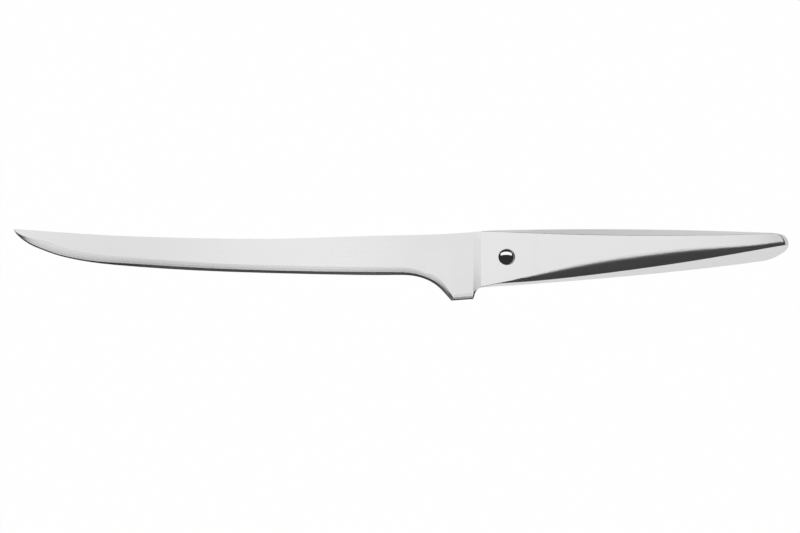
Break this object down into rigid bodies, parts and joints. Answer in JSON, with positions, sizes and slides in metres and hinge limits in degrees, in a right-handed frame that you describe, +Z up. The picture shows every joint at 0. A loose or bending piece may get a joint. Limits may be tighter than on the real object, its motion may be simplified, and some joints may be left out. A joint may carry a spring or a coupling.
{
  "type": "fillet knife",
  "caption": "All-steel fillet knife with a long narrow curved blade, a dropped heel and a hollow faceted handle that widens to the butt, lying on its side.",
  "frame": {"origin": "on the table under the middle of the knife's bounding box, as it lies on its side", "axes": "+X along the knife from tip to butt, +Y from the edge to the spine, +Z up from the table; the blade's middle plane leans 14.9 degrees about X and 1.6 degrees about Y"},
  "size_m": [0.3202, 0.0294, 0.0204],
  "materials": {
    "blade_steel": "fine satin grind",
    "handle_steel": "matt satin",
    "weld_steel": "ground flush and matt satin",
    "polished_steel": "mirror polish"
  },
  "bodies": {
    "root": {"blade": "blade_steel", "handle_shell_left": "handle_steel", "handle_shell_right": "handle_steel", "neck_weld": "weld_steel", "spine_weld": "weld_steel", "keel_weld": "weld_steel", "pearl": "polished_steel"}
  },
  "joints": []
}
